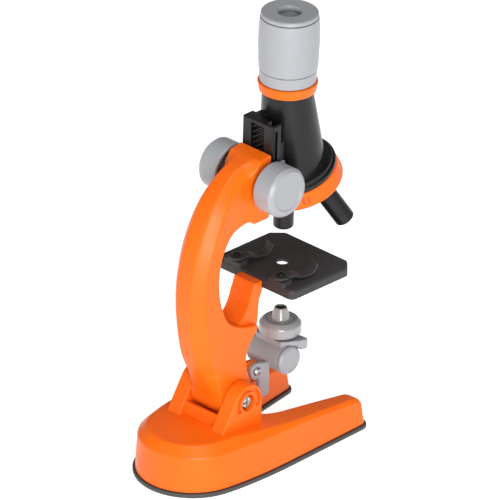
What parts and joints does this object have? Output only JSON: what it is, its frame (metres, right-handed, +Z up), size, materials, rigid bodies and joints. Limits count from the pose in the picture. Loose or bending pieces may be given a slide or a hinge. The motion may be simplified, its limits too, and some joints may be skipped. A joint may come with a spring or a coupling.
{
  "type": "microscope",
  "caption": "Upright student microscope with a tilting C-shaped arm on a horseshoe base, rack focus, objective turret, clip stage and battery lamp.",
  "frame": {"origin": "middle of the base's underside, on the ground", "axes": "+Z up, +Y from the arm towards the two prongs, +X to the user's right; the rest pose leans the arm 2.2 degrees forward"},
  "size_m": [0.064, 0.1215, 0.2221],
  "materials": {
    "orange_shell": "gloss moulded",
    "rim_plastic": "satin",
    "black_plastic": "semi-gloss",
    "stage_plastic": "satin",
    "grey_plastic": "semi-gloss",
    "lamp_plastic": "semi-gloss",
    "screw_steel": "zinc plated",
    "bright_steel": "bright",
    "lens_glass": "clear polished",
    "led_lens": "clear moulded resin"
  },
  "bodies": {
    "base": {"base_shell": "orange_shell", "base_plate": "rim_plastic", "base_screw_rear": "screw_steel", "base_screw_left": "screw_steel", "base_screw_right": "screw_steel", "tilt_bolt": "screw_steel", "tilt_nut": "screw_steel"},
    "arm": {"arm": "orange_shell", "focus_guide_left": "grey_plastic", "focus_guide_right": "grey_plastic", "guide_screw_left_1": "screw_steel", "guide_screw_left_2": "screw_steel", "guide_screw_right_1": "screw_steel", "guide_screw_right_2": "screw_steel", "stage_screw": "screw_steel", "lamp_screw": "screw_steel", "stage_plate": "stage_plastic", "clip_screw_left": "black_plastic", "clip_screw_right": "black_plastic"},
    "clip_left": {"clip_left": "stage_plastic"},
    "clip_right": {"clip_right": "stage_plastic"},
    "focus_drive": {"focus_knob_left": "grey_plastic", "focus_knob_right": "grey_plastic", "pinion_gear": "black_plastic", "pinion_shaft": "bright_steel"},
    "tube": {"body_tube": "black_plastic", "focus_rack": "black_plastic", "nosepiece_plate": "black_plastic", "eyepiece_collar": "orange_shell", "eyepiece_sleeve": "grey_plastic", "detent_spring": "bright_steel", "detent_ball": "bright_steel", "turret_pivot": "bright_steel"},
    "turret": {"turret_ring": "orange_shell", "objective_high": "black_plastic", "objective_mid": "black_plastic", "objective_low": "black_plastic", "objective_high_lens": "lens_glass", "objective_mid_lens": "lens_glass", "objective_low_lens": "lens_glass"},
    "eyepiece": {"eyepiece_barrel": "grey_plastic", "eyepiece_cap": "grey_plastic", "eye_lens": "lens_glass", "field_lens": "lens_glass"},
    "lamp": {"lamp_holder": "grey_plastic", "battery_cap": "grey_plastic", "battery_cell_1": "bright_steel", "battery_cell_2": "bright_steel", "battery_cell_3": "bright_steel", "contact_plate": "bright_steel", "contact_spring": "bright_steel"},
    "lamp_head": {"lamp_drum": "lamp_plastic", "lamp_nozzle": "lamp_plastic", "lamp_led": "led_lens"}
  },
  "joints": [
    {"name": "arm_tilt", "type": "hinge", "parent": "base", "child": "arm", "pos_m": [0, -0.011, 0.0354], "axis": [1, 0, 0], "range_deg": [-3, 30]},
    {"name": "focus_slide", "type": "slide", "parent": "arm", "child": "tube", "axis": [0, 0.0384, 0.9993], "range_m": [-0.009, 0.006]},
    {"name": "focus_turn", "type": "hinge", "parent": "arm", "child": "focus_drive", "pos_m": [0, 0.01022, 0.14236], "axis": [1, 0, 0], "range_deg": [-115, 77]},
    {"name": "turret_spin", "type": "hinge", "parent": "tube", "child": "turret", "pos_m": [0, 0.04123, 0.12886], "axis": [0, -0.3057, 0.9521], "continuous": true},
    {"name": "eyepiece_turn", "type": "hinge", "parent": "tube", "child": "eyepiece", "pos_m": [0, 0.03529, 0.19834], "axis": [0, 0.0384, 0.9993], "continuous": true},
    {"name": "clip_left_swing", "type": "hinge", "parent": "arm", "child": "clip_left", "pos_m": [-0.0145, 0.01499, 0.09184], "axis": [0, 0.0384, 0.9993], "range_deg": [-5, 45]},
    {"name": "clip_right_swing", "type": "hinge", "parent": "arm", "child": "clip_right", "pos_m": [0.0145, 0.01499, 0.09184], "axis": [0, 0.0384, 0.9993], "range_deg": [-30, 25]},
    {"name": "lamp_tilt", "type": "hinge", "parent": "arm", "child": "lamp", "pos_m": [0.003, 0.00935, 0.03902], "axis": [1, 0, 0], "range_deg": [-40, 15]},
    {"name": "lamp_head_turn", "type": "hinge", "parent": "lamp", "child": "lamp_head", "pos_m": [0, 0.02972, 0.05345], "axis": [0, 0.0384, 0.9993], "range_deg": [-45, 45]}
  ],
  "couplings": [
    {"joint": "focus_turn", "follows": "focus_slide", "rad_per_m": 222.22}
  ]
}
